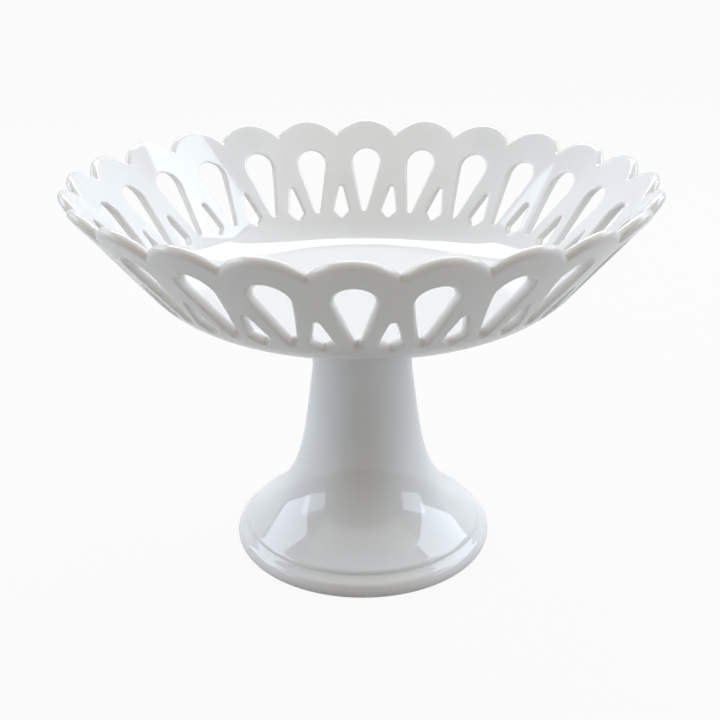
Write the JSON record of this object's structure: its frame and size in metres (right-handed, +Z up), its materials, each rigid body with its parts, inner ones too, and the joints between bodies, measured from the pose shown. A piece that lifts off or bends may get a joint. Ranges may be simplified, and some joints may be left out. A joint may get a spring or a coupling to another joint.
{
  "type": "footed compote bowl",
  "caption": "Round footed bowl with a lobed rim and a pierced sloping wall on a hollow trumpet pedestal, for serving and showing fruit.",
  "frame": {"origin": "centre of the foot ring, on the surface it stands on", "axes": "+Z up along the axis of the bowl; a lobe of the rim is centred on +X and on -Y"},
  "size_m": [0.279, 0.279, 0.1937],
  "materials": {
    "pedestal_glaze": "glossy white glaze over pale earthenware, bare on the ring it stands on",
    "slip_glaze": "fired slip under the same glossy white glaze",
    "bowl_glaze": "glossy white glaze over pale earthenware, a little warmer where it thins at the edges"
  },
  "bodies": {
    "root": {"pedestal": "pedestal_glaze", "slip_ring": "slip_glaze", "bowl": "bowl_glaze"}
  },
  "joints": []
}
